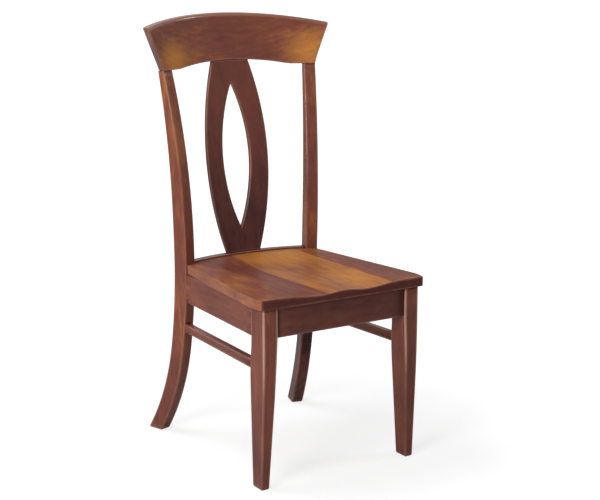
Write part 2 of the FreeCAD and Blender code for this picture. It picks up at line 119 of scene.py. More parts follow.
# shader maths written as expressions
class Wire:
    # one output of a node tree; operators add Math nodes
    def __init__(self, tree, socket):
        self.tree, self.socket = tree, socket

    def node(self, kind, inputs=(), out=0, **settings):
        return addNode(self.tree, kind, inputs, out, **settings)

    def maths(self, operation, *values, clamp=False):
        return self.node("ShaderNodeMath", list(enumerate(values)), operation=operation, use_clamp=clamp)

    def __add__(self, other):
        return self.maths("ADD", self, other)

    __radd__ = __add__

    def __sub__(self, other):
        return self.maths("SUBTRACT", self, other)

    def __rsub__(self, other):
        return self.maths("SUBTRACT", other, self)

    def __mul__(self, other):
        return self.maths("MULTIPLY", self, other)

    __rmul__ = __mul__

    def __truediv__(self, other):
        return self.maths("DIVIDE", self, other)

    def __abs__(self):
        return self.maths("ABSOLUTE", self)

    def floor(self):
        return self.maths("FLOOR", self)

    def clamp(self):
        return self.maths("ADD", self, 0.0, clamp=True)

    def smooth(self, low, high, start=0.0, end=1.0):
        return self.node("ShaderNodeMapRange", [("Value", self), ("From Min", low), ("From Max", high),
                                                ("To Min", start), ("To Max", end)],
                         interpolation_type="SMOOTHSTEP")


def addNode(tree, kind, inputs=(), out=0, **settings):
    node = tree.nodes.new(kind)
    for key, value in settings.items():
        if key == "stops":
            ramp = node.color_ramp
            while len(ramp.elements) < len(value):
                ramp.elements.new(0.5)
            for element, (place, colour) in zip(ramp.elements, value):
                element.position, element.color = place, (*colour, 1)
        else:
            setattr(node, key, value)
    for key, value in inputs:
        socket = node.inputs[key]
        wires = value if isinstance(value, list) else [value]
        if isinstance(wires[0], Wire):
            for wire in wires:
                tree.links.new(wire.socket, socket)
        else:
            socket.default_value = value
    return Wire(tree, node.outputs[out])


def mixColour(tree, share, a, b, blend="MIX"):
    node = tree.nodes.new("ShaderNodeMix")
    node.data_type, node.blend_type = "RGBA", blend
    for socket, value in ((node.inputs[0], share), (node.inputs[6], a), (node.inputs[7], b)):
        if isinstance(value, Wire):
            tree.links.new(value.socket, socket)
        elif socket == node.inputs[0]:
            socket.default_value = value
        else:
            socket.default_value = (*value, 1)
    return Wire(tree, node.outputs[2])


def linear(r, g, b):
    # a colour as a screen shows it, 0 to 255, made linear
    return tuple(((c / 255 + 0.055) / 1.055) ** 2.4 if c > 10 else c / 255 / 12.92 for c in (r, g, b))


# stained hardwood under a lacquer
woodLook = {
    "dark": linear(60, 32, 34),
    "middle": linear(122, 68, 53),
    "light": linear(190, 124, 56),
    "rubbed": linear(160, 100, 72),
    "highlightColour": linear(226, 186, 164),          # painted highlight: a pale colour put on edges in place of a reflection
    "roughness": 0.45,
    "specular": 0.10,
    "gloss": 0.12,            # mirror share of the lacquer on flat faces
    "edgeGloss": 0.75,        # and on the rounded edges
    "coatRoughness": 0.17,
    "endTone": 0.12,          # end grain soaks up more stain
    "wear": 0.38,             # how far the stain is rubbed through on the edges
    "stretch": 12.0,          # how much longer than wide the fibres are
    "looseStretch": 0.28,     # scale along the grain of the larger patterns
    "seedShift": (0.37, 0.73, 0.51),        # how far each seed moves the patterns
    "fibres": (460.0, 4.0, 0.65),           # scale per metre, detail, roughness, distortion
    "pores": (1058.0, 2.0),
    "figure": (62.0, 5.0, 0.6, 0.4),        # mottling of the grain
    "blotches": (15.0, 4.0, 0.55),
    "clouds": (6.0, 2.0),
    "wearScale": 24.0,
    "ringsPerMetre": 70.0,
    # how much each pattern changes the tone, and how much it stands out in the bump
    "shares": {"blotches": 0.75, "clouds": 0.4, "figure": 0.55, "rings": 0.06, "fibres": 0.30},
    "relief": {"fibres": 0.5, "pores": 0.7, "figure": 0.5, "rings": 0.15},
    "poreTone": 0.4,          # how dark the open pores are
    "roughnessChange": 0.18,
    "bump": 0.3,
    "bumpHeight": 0.0004,
}


def noise(tree, place, scale, detail=3.0, roughness=0.5, distortion=0.0):
    return addNode(tree, "ShaderNodeTexNoise",
                   [("Vector", place), ("Scale", scale), ("Detail", detail), ("Roughness", roughness),
                    ("Distortion", distortion)])


def placed(tree, place, move=(0, 0, 0), turn=(0, 0, 0), size=(1, 1, 1)):
    return addNode(tree, "ShaderNodeMapping",
                   [("Vector", place), ("Location", move), ("Rotation", turn), ("Scale", size)])


def stainedWood(name, grain, tone, seed, contrast=1.0, patches=(), boards=None, paintedHighlights=(), look=woodLook):
    # the fibres run along one axis; tone is 0 for the dark stain and 1 for the golden one;
    # patches are soft spots of paler or darker tone, some of them painted shade: (centre, size, change of
    # tone), in metres;
    # the painted highlights are places where a pale colour is painted on the edges in place of a
    # reflection: (centre, size, how much)
    material = bpy.data.materials.new(name)
    material.use_nodes = True
    tree = material.node_tree
    shader = tree.nodes["Principled BSDF"]
    place = addNode(tree, "ShaderNodeTexCoord", out="Object")
    along = [1.0 if axis == grain else 0.0 for axis in "XYZ"]
    offset = [seed * shift for shift in look["seedShift"]]
    whole = place
    if boards:
        # each glued-up board has its own place in the pattern and its own tone
        x = addNode(tree, "ShaderNodeSeparateXYZ", [(0, place)], out="X")
        index = ((x + boards["halfWidth"]) / boards["width"]).floor()
        chance = addNode(tree, "ShaderNodeTexWhiteNoise", [("W", index + boards["seed"])],
                         noise_dimensions="1D")
        shift = addNode(tree, "ShaderNodeCombineXYZ", [(0, chance * 0.9), (1, index * 1.7), (2, chance)])
        place = addNode(tree, "ShaderNodeVectorMath", [(0, place), (1, shift)], operation="ADD")
    fine = placed(tree, place, offset, size=[1 / look["stretch"] if a else 1.0 for a in along])
    loose = placed(tree, place, offset, size=[look["looseStretch"] if a else 1.0 for a in along])
    fibres = noise(tree, fine, *look["fibres"])
    pores = noise(tree, fine, *look["pores"])
    figure = noise(tree, loose, *look["figure"])
    blotch = noise(tree, loose, *look["blotches"])
    cloud = noise(tree, whole, *look["clouds"])
    # growth rings: distance from a tilted heart line, bent by noise
    heart = placed(tree, loose, (0.13, 0.11, 0.12), [0.0 if a else 0.05 for a in along],
                   [0.05 if a else 1.0 for a in along])
    radius = addNode(tree, "ShaderNodeVectorMath", [(0, heart)], out="Value", operation="LENGTH")
    phase = (radius + blotch * 0.05 + figure * 0.006) * look["ringsPerMetre"]
    saw = phase - phase.floor()
    rings = saw.smooth(0.0, 0.75) - saw.smooth(0.75, 1.0)
    shares = look["shares"]
    value = (tone + (blotch - 0.5) * shares["blotches"] * contrast
             + (cloud - 0.5) * shares["clouds"] * contrast
             + (figure - 0.5) * shares["figure"] * contrast
             - rings * shares["rings"] * contrast + (fibres - 0.5) * shares["fibres"])
    if boards:
        across = (x + boards["halfWidth"]) / boards["width"]
        seam = abs(across - across.maths("ROUND", across)).smooth(0.002, 0.007, 0.10, 0.0)
        value = value + (chance - 0.5) * boards["difference"] - seam
        for number, extra in enumerate(boards["tones"]):
            value = value + index.maths("COMPARE", index, float(number), 0.1) * extra

    def reach(centre, size):
        away = addNode(tree, "ShaderNodeVectorMath", [(0, whole), (1, centre)], operation="SUBTRACT")
        away = addNode(tree, "ShaderNodeVectorMath", [(0, away), (1, size)], operation="DIVIDE")
        return addNode(tree, "ShaderNodeVectorMath", [(0, away)], out="Value", operation="LENGTH")

    for centre, size, change in patches:
        value = value + (reach(centre, size) + (blotch - 0.5) * 0.9).smooth(0.2, 1.2, change, 0.0)
    normal = addNode(tree, "ShaderNodeNewGeometry", out="Normal")
    facing = abs(addNode(tree, "ShaderNodeVectorMath", [(0, normal), (1, along)], out="Value",
                         operation="DOT_PRODUCT"))
    soaked = facing.smooth(0.55, 0.85)
    value = value.clamp() * (1 - soaked) + (look["endTone"] + (figure - 0.5) * 0.2) * soaked
    colour = addNode(tree, "ShaderNodeValToRGB", [("Fac", value.clamp())],
                     stops=((0.0, look["dark"]), (0.5, look["middle"]), (1.0, look["light"])))
    edge = addNode(tree, "ShaderNodeAttribute", out="Fac", attribute_name="edge")
    worn = (edge * noise(tree, loose, look["wearScale"]).smooth(0.3, 0.7) * look["wear"]).clamp()
    colour = mixColour(tree, worn, colour, look["rubbed"])
    # painted highlight: a pale colour laid on the edges at these places
    for centre, size, change in paintedHighlights:
        highlightShare = (edge * reach(centre, size).smooth(0.6, 1.1, change, 0.0)).clamp()
        colour = mixColour(tree, highlightShare, colour, look["highlightColour"])
    colour = mixColour(tree, pores.smooth(0.62, 0.74, 0.0, look["poreTone"]), colour, look["dark"])
    tree.links.new(colour.socket, shader.inputs["Base Color"])
    rough = look["roughness"] + (fibres - 0.5) * look["roughnessChange"]
    tree.links.new(rough.socket, shader.inputs["Roughness"])
    shader.inputs["Specular IOR Level"].default_value = look["specular"]
    coat = edge * (look["edgeGloss"] - look["gloss"]) + look["gloss"]
    tree.links.new(coat.socket, shader.inputs["Coat Weight"])
    shader.inputs["Coat Roughness"].default_value = look["coatRoughness"]
    relief = look["relief"]
    height = (fibres * relief["fibres"] - pores.smooth(0.6, 0.75) * relief["pores"]
              + figure * relief["figure"] - rings * relief["rings"])
    bump = addNode(tree, "ShaderNodeBump", [("Height", height), ("Strength", look["bump"]),
                                            ("Distance", look["bumpHeight"])])
    tree.links.new(bump.socket, shader.inputs["Normal"])
    return material


# solid pieces are swept from rounded outlines
def roundedOutline(v0, v1, w0, w1, radii, flats, corner=4, beside=3.0):
    # points (v, w, edge) round a rectangle from its low corner; radii go round the same way
    corners = ((v0, w0, 180), (v1, w0, 270), (v1, w1, 0), (v0, w1, 90))
    signs = ((1, 1), (-1, 1), (-1, -1), (1, -1))
    arcs = []
    for (v, w, start), (sv, sw), radius in zip(corners, signs, radii):
        cv, cw = v + sv * radius, w + sw * radius
        angles = [math.radians(start + 90 * k / corner) for k in range(corner + 1)]
        arcs.append([(cv + radius * math.cos(a), cw + radius * math.sin(a), 1.0) for a in angles])
    points = []
    for side in range(4):
        arcHere, arcNext = arcs[side], arcs[(side + 1) % 4]
        points += arcHere
        (va, wa, _), (vb, wb, _) = arcHere[-1], arcNext[0]
        length = math.hypot(vb - va, wb - wa)
        near = min(beside, length / 3) / max(length, 1e-6)
        count = flats[side % 2]
        for k in range(count + 1):
            t = near + (1 - 2 * near) * k / count
            points.append((va + (vb - va) * t, wa + (wb - wa) * t, 0.0))
    return points


def sweepPiece(name, stations, outline, place, rounding=(0.0, 0.0), radii=(2, 2, 2, 2), flats=(2, 2),
               closed=False, insets=(1.0, 1.0), corner=4, steps=4):
    # rings of a rounded outline (v0, v1, w0, w1 at each station) joined along the stations;
    # insets say how far a rounded end is pulled in along v and w
    rings = []

    def ring(s, inset=(0.0, 0.0), shrink=0.0):
        v0, v1, w0, w1 = outline(s)
        iv, iw = inset
        rs = [max(r - shrink, 0.05) for r in radii]
        points = roundedOutline(v0 + iv, v1 - iv, w0 + iw, w1 - iw, rs, flats, corner)
        return [(place(s, v, w), e) for v, w, e in points]

    def endRing(end, way, size, k):
        # one ring of a rounded end, pulled in by a quarter circle
        a = math.pi / 2 * k / steps
        cut = size * (1 - math.sin(a))
        s = end + way * size * (1 - math.cos(a))
        return ring(s, (cut * insets[0], cut * insets[1]), cut), 1.0

    first, last = rounding
    start, end = stations[0], stations[-1]
    apart = 0.4               # mm, the least distance from a rounded end to the next ring
    if first:
        rings += [endRing(start, 1, first, k) for k in range(steps)]
        rings.append((ring(start + first), 0.5))
    low = start + first + apart if first else start
    high = end - last - apart if last else end
    rings += [(ring(s), 0.0) for s in stations if low <= s <= high]
    if last:
        rings.append((ring(end - last), 0.5))
        rings += [endRing(end, -1, last, k) for k in range(steps - 1, -1, -1)]
    middles = None
    if flats[1] % 2 == 0:
        # the points in the middle of the two short sides
        middle = 2 * (corner + 1) + flats[0] + 1 + flats[1] // 2
        middles = middle, middle + 2 * (corner + 1) + flats[0] + flats[1] + 2
    return meshFromRings(name, rings, closed, middles)


def closeEnd(mesh, row, middles):
    # an end that may be curved is closed by a strip of faces from one short side to the other
    if not middles:
        mesh.faces.new(row)
        return
    far, near = middles
    count = len(row)
    ahead = [row[(near + k) % count] for k in range(1, (far - near) % count)]
    behind = [row[(near - k) % count] for k in range(1, (near - far) % count)]
    mesh.faces.new((row[near], ahead[0], behind[0]))
    for a, b, c, d in zip(ahead, ahead[1:], behind[1:], behind):
        mesh.faces.new((a, b, c, d))
    mesh.faces.new((ahead[-1], row[far], behind[-1]))


def meshFromRings(name, rings, closed=False, middles=None):
    mesh = bmesh.new()
    layer = mesh.verts.layers.float.new("edge")
    rows = []
    for points, atEnd in rings:
        row = []
        for point, edge in points:
            vert = mesh.verts.new(point * mm)
            vert[layer] = max(edge, atEnd)
            row.append(vert)
        rows.append(row)
    pairs = list(zip(rows, rows[1:])) + ([(rows[-1], rows[0])] if closed else [])
    for a, b in pairs:
        for i in range(len(a)):
            j = (i + 1) % len(a)
            mesh.faces.new((a[i], a[j], b[j], b[i]))
    if not closed:
        closeEnd(mesh, rows[0], middles)
        closeEnd(mesh, rows[-1], middles)
    bmesh.ops.remove_doubles(mesh, verts=mesh.verts, dist=1e-6)
    bmesh.ops.recalc_face_normals(mesh, faces=mesh.faces)
    return objectFrom(name, mesh)


def objectFrom(name, mesh):
    data = bpy.data.meshes.new(name)
    mesh.to_mesh(data)
    mesh.free()
    for face in data.polygons:
        face.use_smooth = True
    obj = bpy.data.objects.new(name, data)
    scene.collection.objects.link(obj)
    return obj


def finishPiece(obj, material, slot, *nodes):
    obj.data.materials.clear()
    obj.data.materials.append(material)
    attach(obj, "root")
    if nodes:
        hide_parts(*nodes)


def span(start, end, step):
    count = max(1, round(abs(end - start) / step))
    return [start + (end - start) * k / count for k in range(count + 1)]


class Slices:
    # cross-sections of a CAD node: its extent along two directions, at a height or another distance
    def __init__(self, node, along, across, back):
        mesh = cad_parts[node].data
        points = [v.co / mm for v in mesh.vertices]
        self.across, self.back = across, back
        self.values = [(p.dot(along), p.dot(across), p.dot(back)) for p in points]
        self.edges = [tuple(e.vertices) for e in mesh.edges]

    def extent(self, s):
        found = []
        for i, j in self.edges:
            a, b = self.values[i], self.values[j]
            if (a[0] - s) * (b[0] - s) <= 0 and a[0] != b[0]:
                t = (s - a[0]) / (b[0] - a[0])
                found.append((a[1] + (b[1] - a[1]) * t, a[2] + (b[2] - a[2]) * t))
        vs, ws = zip(*found)
        return min(vs), max(vs), min(ws), max(ws)

    def between(self, top, below, above):
        # the extents from the floor up to a height, as an outline for a sweep
        return lambda s: self.extent(min(max(s, below), top - above))


def sidePlace(along, across, back):
    def place(s, v, w):
        return along * s + across * v + back * w
    return place


# rear posts: one curved piece each, from the floor to the crest rail
postLook = {
    "turn": 17.0,             # degrees
    "edge": 3.0, "step": 14.0, "foot": 5.5,
    "clear": (3.0, 1.0),      # mm inside the ends, where the last sections are taken
    "tone": {"left": 0.52, "right": 0.46},
    "seed": {"left": 1.0, "right": 2.0},
    "wood": {
        "contrast": 0.8,
        # the paler spot is on the left post's top; the darker spots low down are painted shade under the
        # seat, deepest on the right post
        "patches": (((-0.2, 0.2, 0.92), (0.3, 1.0, 0.20), 0.06), ((0, 0.2, 0.10), (1.0, 1.0, 0.30), -0.10),
                    ((0.22, 0.2, 0.10), (0.25, 1.0, 0.35), -0.22)),
    },
}


def makePost(side, look=postLook):
    node = "rear_post_" + side
    turn = math.radians(look["turn"]) * (1 if side == "left" else -1)
    across = Vector((math.cos(turn), math.sin(turn), 0))
    back = Vector((-math.sin(turn), math.cos(turn), 0))
    slices = Slices(node, zAxis, across, back)
    top = boxOf("crest_rail")[0].z
    obj = sweepPiece(node, span(0, top, look["step"]), slices.between(top, *look["clear"]),
                     sidePlace(zAxis, across, back), rounding=(look["foot"], 0), radii=(look["edge"],) * 4)
    wood = stainedWood("postWood_" + side, "Z", look["tone"][side], look["seed"][side], **look["wood"])
    finishPiece(obj, wood, "frame_wood", node)


# front legs: tapered, swept back below the apron
legLook = {
    "edge": 2.6, "step": 12.0, "foot": 5.5,
    "clear": (3.0, 1.0),
    "tone": {"left": 0.40, "right": 0.43},
    "seed": {"left": 3.0, "right": 4.0},
    "wood": {
        "contrast": 0.8,
        "patches": (((0, -0.2, 0.0), (1.0, 1.0, 0.32), -0.10),),
        # painted highlight: a pale colour down the legs' front edges below the apron, in place of a
        # reflection
        "paintedHighlights": (((0, -0.33, 0.36), (0.5, 0.12, 0.16), 0.35),),
    },
}


def makeLeg(side, look=legLook):
    node = "front_leg_" + side
    slices = Slices(node, zAxis, xAxis, yAxis)
    top = boxOf(node)[1].z
    obj = sweepPiece(node, span(0, top, look["step"]), slices.between(top, *look["clear"]),
                     sidePlace(zAxis, xAxis, yAxis), rounding=(look["foot"], 0), radii=(look["edge"],) * 4)
    wood = stainedWood("legWood_" + side, "Z", look["tone"][side], look["seed"][side], **look["wood"])
    finishPiece(obj, wood, "frame_wood", node)


# aprons and stretchers: straight bars between the legs and the posts
barLook = {
    "apronEdge": 1.6, "upperEdge": 0.6, "stretcherEdge": 2.6,
    "overlap": 2.0, "step": 40.0,
    "inset": 12.0,            # mm from the bar's ends to the sections that give its shape
    "tenon": 18.0,
    "apronWood": {"tone": 0.20, "seed": 5.0, "contrast": 0.55},
    "sideWood": {"tone": 0.42, "seed": 6.0, "contrast": 0.8},
}
sideWood = stainedWood("sideWood", "Y", **barLook["sideWood"])


def makeBar(node, ends, edges, look=barLook):
    # ends are the stretch along Y that shows; the bar runs a little way into what it meets
    slices = Slices(node, yAxis, xAxis, zAxis)
    low, high = ends[0] - look["overlap"], ends[1] + look["overlap"]
    inset = look["inset"]
    a, b = slices.extent(ends[0] + inset), slices.extent(ends[1] - inset)
    slope = [(q - p) / (ends[1] - ends[0] - 2 * inset) for p, q in zip(a, b)]

    def outline(s):
        return [p + k * (s - ends[0] - inset) for p, k in zip(a, slope)]

    obj = sweepPiece(node, span(low, high, look["step"]), outline, sidePlace(yAxis, xAxis, zAxis),
                     radii=edges, flats=(2, 4))
    finishPiece(obj, sideWood, "frame_wood", node)


def legFaces(side):
    # the leg's inner face and its back, where the aprons meet it
    leg = Slices("front_leg_" + side, zAxis, xAxis if side == "right" else -xAxis, yAxis)
    low, high = boxOf("side_apron_" + side)
    found = [leg.extent(z) for z in span(low.z + 2, high.z - 2, 10.0)]
    return max(f[0] for f in found), min(f[3] for f in found)


def makeFrontApron(look=barLook):
    node = "front_apron"
    low, high = boxOf(node)
    half = legFaces("right")[0] + look["overlap"]
    r = look["apronEdge"]
    obj = sweepPiece(node, span(-half, half, look["step"]), lambda s: (low.y, high.y, low.z, high.z),
                     sidePlace(xAxis, yAxis, zAxis), radii=(r, r, look["upperEdge"], look["upperEdge"]),
                     flats=(2, 5))
    finishPiece(obj, stainedWood("apronWood", "X", **look["apronWood"]), "frame_wood", node)


def makeSideBars(side, look=barLook):
    low, high = boxOf("side_apron_" + side)
    r, upper = look["apronEdge"], look["upperEdge"]
    makeBar("side_apron_" + side, (legFaces(side)[1], high.y - look["tenon"]), (r, r, upper, upper))
    low, high = boxOf("side_stretcher_" + side)
    makeBar("side_stretcher_" + side, (low.y + look["tenon"], high.y - look["tenon"]),
            (look["stretcherEdge"],) * 4)


# crest rail: bowed board with an arched top and flared ends
crestLook = {
    "radius": 450.0, "thickness": 25.5, "lean": 0.235, "bevel": 3.0,
    "cornerDrop": 27.5, "archRise": 15.0, "archHalfSpan": 160.0,
    "endHalfSpan": 219.4, "flareStep": 5.0, "flareStart": 16.0,
    "frontTop": 7.0, "backTop": 4.0, "lower": 2.0, "end": 3.0, "step": 9.0,
    "wood": {
        "tone": 0.44, "seed": 8.0, "contrast": 0.8,
        "patches": (((-0.18, 0.17, 0.955), (0.06, 0.2, 0.06), 0.34),
                    ((-0.13, 0.17, 0.98), (0.12, 0.2, 0.10), 0.20),
                    ((0.225, 0.16, 0.965), (0.10, 0.2, 0.07), 0.42),
                    ((0.14, 0.19, 0.98), (0.12, 0.2, 0.10), 0.07)),
    },
}


def arcHeight(x, halfSpan, rise):
    # height above its chord of an arc with that rise
    if rise <= 0 or abs(x) >= halfSpan:
        return 0.0
    radius = (halfSpan ** 2 + rise ** 2) / (2 * rise)
    return math.sqrt(radius ** 2 - x ** 2) - (radius - rise)


def makeCrest(look=crestLook):
    node = "crest_rail"
    low, high = boxOf(node)
    halfWidth = high.x
    bottom, top = low.z, high.z
    corner = top - look["cornerDrop"]
    outer = look["radius"] + look["thickness"]
    bowCentre = high.y - look["lean"] * (top - look["bevel"] - bottom) - outer

    def halfSpan(z):
        # the ends rise nearly upright over the posts, then flare out
        t = z - bottom
        start, step = look["flareStart"], look["flareStep"]
        flare = look["endHalfSpan"] + step
        length = corner - bottom - start
        if t < start:
            u = t / start
            rise = (halfWidth - flare) / length * start
            return look["endHalfSpan"] + (2 * step - rise) * u + (rise - step) * u * u
        return flare + (halfWidth - flare) * (t - start) / length

    def topHeight(u):
        return corner + arcHeight(u * halfWidth, halfWidth, look["cornerDrop"])

    def bottomHeight(u):
        return bottom + arcHeight(u * look["endHalfSpan"], look["archHalfSpan"], look["archRise"])

    def outline(s):
        u = s / halfWidth
        return 0.0, topHeight(u) - bottomHeight(u), 0.0, look["thickness"]

    def place(s, v, w):
        u = max(-1.0, min(1.0, s / halfWidth))
        z = bottomHeight(u) + v
        x = u * halfSpan(z)
        y = bowCentre + math.sqrt((look["radius"] + w) ** 2 - x ** 2) + look["lean"] * (z - bottom)
        return Vector((x, y, z))

    obj = sweepPiece(node, span(-halfWidth, halfWidth, look["step"]), outline, place,
                     rounding=(look["end"], look["end"]),
                     radii=(look["lower"], look["frontTop"], look["backTop"], look["lower"]),
                     flats=(12, 2), corner=6)
    finishPiece(obj, stainedWood("crestWood", "X", **look["wood"]), "frame_wood", node)


# rear rail: bowed board behind the seat
railLook = {
    "radius": 450.0, "edge": 2.2, "lowEdge": 1.5, "overlap": 2.0, "step": 10.0,
    "wood": {"tone": 0.22, "seed": 7.0},
}


def makeRearRail(look=railLook):
    node = "rear_rail"
    low, high = boxOf(node)
    thickness = boxOf("front_apron")[1].y - boxOf("front_apron")[0].y
    bowCentre = high.y - look["radius"] - thickness
    half = boxOf("rear_post_right")[0].x + look["overlap"]
    r, lower = look["edge"], look["lowEdge"]

    def place(s, v, w):
        radius = look["radius"] + w
        a = s / look["radius"]
        return Vector((radius * math.sin(a), bowCentre + radius * math.cos(a), v))

    end = look["radius"] * math.asin(half / look["radius"])
    obj = sweepPiece(node, span(-end, end, look["step"]), lambda s: (low.z, high.z, 0.0, thickness), place,
                     radii=(lower, r, r, lower), flats=(5, 2))
    finishPiece(obj, stainedWood("railWood", "X", **look["wood"]), "frame_wood", node)


# splat: bowed thin board, swept round its pointed oval cut-out
splatLook = {
    "thickness": 11.0, "setBack": 4.0,
    "footWidth": 97.5, "bellyWidth": 178.0, "headWidth": 93.5,
    "cutFoot": 62.5, "cutHead": 57.0, "cutWidth": 78.0,
    "edge": 2.4, "step": 11.0,
    "runOn": 15.0,            # mm that the blank's arcs run on into the crest
    "tipLength": 26.0,        # mm from a tip of the cut-out to the first station level with the sides
    "tipSteps": 8,
    "wood": {
        "tone": 0.22, "seed": 9.0, "contrast": 0.5,
        "patches": (((0, 0.15, 0.92), (1.0, 1.0, 0.25), 0.12), ((0, 0.15, 0.45), (1.0, 1.0, 0.25), -0.10)),
    },
}


def makeSplat(look=splatLook):
    node = "back_splat"
    crestLow, crestHigh = boxOf("crest_rail")
    railHigh = boxOf("rear_rail")[1]
    foot, head = railHigh.z, crestLow.z + crestLook["archRise"]
    middle = (foot + head) / 2
    railThickness = boxOf("front_apron")[1].y - boxOf("front_apron")[0].y
    railFront = railHigh.y - railThickness
    crestFront = (crestHigh.y - crestLook["lean"] * (crestHigh.z - crestLook["bevel"] - crestLow.z)
                  - crestLook["thickness"]
                  + crestLook["lean"] * crestLook["archRise"])
    lean = (crestFront - railFront) / (head - foot)
    radius = railLook["radius"] + look["setBack"]
    tips = foot + look["cutFoot"], head - look["cutHead"]
    top = head + look["runOn"]

    def throughThree(z, a, b, c):
        # x of the arc through (x, z) points a, b and c, at a height
        (x1, z1), (x2, z2), (x3, z3) = a, b, c
        d = 2 * (x1 * (z2 - z3) + x2 * (z3 - z1) + x3 * (z1 - z2))
        q1, q2, q3 = x1 * x1 + z1 * z1, x2 * x2 + z2 * z2, x3 * x3 + z3 * z3
        ux = (q1 * (z2 - z3) + q2 * (z3 - z1) + q3 * (z1 - z2)) / d
        uz = (q1 * (x3 - x2) + q2 * (x1 - x3) + q3 * (x2 - x1)) / d
        r = math.hypot(x2 - ux, z2 - uz)
        return ux + math.sqrt(max(r * r - (z - uz) ** 2, 0))

    def outerX(z):
        return throughThree(z, (look["footWidth"] / 2, foot), (look["bellyWidth"] / 2, middle),
                            (look["headWidth"] / 2, top))

    def innerX(z):
        return throughThree(z, (0, tips[0]), (look["cutWidth"] / 2, sum(tips) / 2), (0, tips[1]))

    # stations round the right half, from the foot's middle to the head's middle
    pairs = []
    count = look["tipSteps"]
    cornerLow, cornerHigh = tips[0] + look["tipLength"], tips[1] - look["tipLength"]
    for k in range(count):
        t = k / count
        z = tips[0] + (cornerLow - tips[0]) * t
        pairs.append(((innerX(z) if k else 0.0, z), (outerX(foot) * t, foot)))
    for z in span(cornerLow, cornerHigh, look["step"]):
        t = (z - cornerLow) / (cornerHigh - cornerLow)
        pairs.append(((innerX(z), z), (outerX(foot + (head - foot) * t), foot + (head - foot) * t)))
    for k in range(count - 1, -1, -1):
        t = k / count
        z = tips[1] - (tips[1] - cornerHigh) * t
        pairs.append(((innerX(z) if k else 0.0, z), (outerX(head) * t, head)))
    loop = pairs + [((-a[0], a[1]), (-b[0], b[1])) for a, b in reversed(pairs[1:-1])]

    def outline(s):
        (ax, az), (bx, bz) = loop[s]
        return 0.0, math.hypot(bx - ax, bz - az), 0.0, look["thickness"]

    def place(s, v, w):
        (ax, az), (bx, bz) = loop[s]
        t = v / math.hypot(bx - ax, bz - az)
        x, z = ax + (bx - ax) * t, az + (bz - az) * t
        bowCentre = railFront + look["setBack"] + lean * (z - foot) - radius
        return Vector((x, bowCentre + math.sqrt((radius + w) ** 2 - x * x), z))

    obj = sweepPiece(node, list(range(len(loop))), outline, place, radii=(look["edge"],) * 4,
                     flats=(8, 1), closed=True)
    finishPiece(obj, stainedWood("splatWood", "Z", **look["wood"]), "frame_wood", node)


# seat: scooped, glued up from boards, bowed to the rear rail
seatLook = {
    "frontWidth": 448.0, "rearWidth": 384.0, "sideLength": 410.0, "boards": 5,
    "swell": 7.5, "swellSetback": 50.0,       # the sides swell out behind the front corners
    "bowlDepth": 12.5, "bowlShare": 0.80, "fadeStart": 300.0, "fadeLength": 125.0, "rearDepth": 1.0,
    "ridgeHeight": 10.0, "ridgeHalfWidth": 52.0, "ridgeLength": 300.0,
    "topEdge": 3.0, "lowEdge": 2.0, "sideEdge": 1.0, "cornerRound": 5.0, "step": 7.0,
    "fit": 0.3,               # mm of play to the rail and the posts
    "rim": 4.0,               # mm of the edge's lower part that the scoop leaves flat
    "wood": {
        "tone": 0.50, "seed": 10.0, "contrast": 0.9,
        "patches": (((0.07, 0.14, 0.45), (0.12, 0.14, 0.3), 0.20),
                    ((0.10, -0.18, 0.45), (0.08, 0.16, 0.3), 0.12),
                    ((0.05, -0.05, 0.45), (0.05, 0.14, 0.3), -0.12)),
        "boards": {"halfWidth": 0.224, "width": 0.0896, "seed": 3.0, "difference": 0.06,
                   "tones": (0.04, 0.02, 0.30, 0.27, -0.02)},
        "look": {**woodLook, "specular": 0.03, "gloss": 0.04, "edgeGloss": 0.35, "roughness": 0.5},
    },
}


def makeScoopTree(sizes, material):
    # the flat blank's top is carved by a rule: a bowl across, fading to the rear, with a ridge in front
    tree, size = newTree("seatScoop", **sizes, material=material)
    place = addNode(tree, "GeometryNodeInputPosition")
    x, y, z = (addNode(tree, "ShaderNodeSeparateXYZ", [(0, place)], out=axis) for axis in "XYZ")
    back = (y - size["front"]).maths("MAXIMUM", y - size["front"], 0.0)
    share = abs(x) / ((size["halfWidth"] - back * size["taper"]) * size["bowlShare"])
    share = share.maths("MINIMUM", share, 1.0)
    wave = share.maths("COSINE", share * (math.pi / 2))
    fade = back.smooth(size["fadeStart"], size["fadeStart"] + size["fadeLength"])
    hollow = size["bowlDepth"] * (1 - fade) + size["rearDepth"] * fade
    across = x / size["ridgeHalfWidth"]
    ridge = size["ridgeHeight"] * across.maths("EXPONENT", across * across * -1)
    ridge = ridge * back.smooth(0.0, size["ridgeLength"], 1.0, 0.0)
    carved = ((z - size["underside"] - size["rim"]) / (size["thickness"] - size["rim"])).clamp()
    drop = (hollow - ridge) * wave * wave * carved
    offset = addNode(tree, "ShaderNodeCombineXYZ", [("Z", drop * -1)])
    shaped = addNode(tree, "GeometryNodeSetPosition",
                     [("Geometry", size["Geometry"]), ("Offset", offset)])
    endTree(tree, shaped, size["material"])
    return tree


